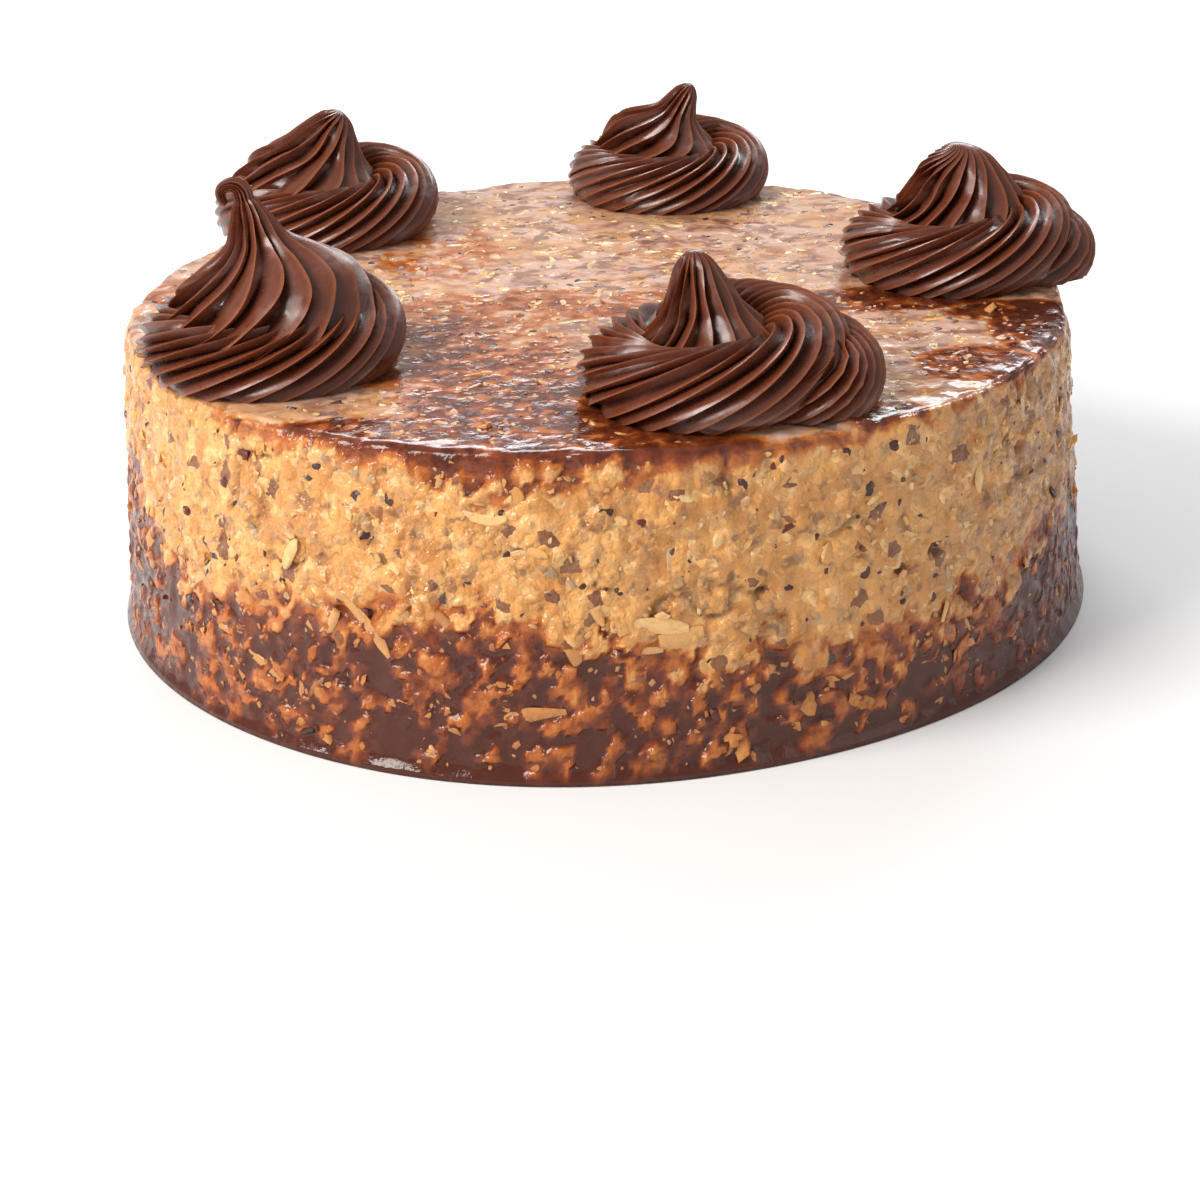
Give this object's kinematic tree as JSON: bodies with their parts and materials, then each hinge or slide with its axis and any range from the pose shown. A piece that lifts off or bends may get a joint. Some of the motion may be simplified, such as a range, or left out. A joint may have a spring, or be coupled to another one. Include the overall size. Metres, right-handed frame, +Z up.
{
  "type": "german chocolate cake",
  "caption": "Round uncut layer cake in coconut and pecan frosting, with piped chocolate rosettes standing near its top edge",
  "frame": {"origin": "Centre of the flat underside of the cake, on the surface that it stands on", "axes": "+Z up through the cake's axis; -Y faces the side seen nearest in the picture; +X to the right in that view"},
  "size_m": [0.24, 0.2406, 0.1143],
  "materials": {
    "frosting": "wet caramel frosting with coconut and pecans",
    "coconut": "moist translucent flakes",
    "pecan": "chopped nuts coated in frosting",
    "chocolate_cream": "satin piped chocolate buttercream"
  },
  "bodies": {
    "root": {"cake": "frosting", "rosette_front_left": "chocolate_cream", "rosette_back_left": "chocolate_cream", "rosette_back": "chocolate_cream", "rosette_right": "chocolate_cream", "rosette_front": "chocolate_cream"}
  },
  "joints": []
}
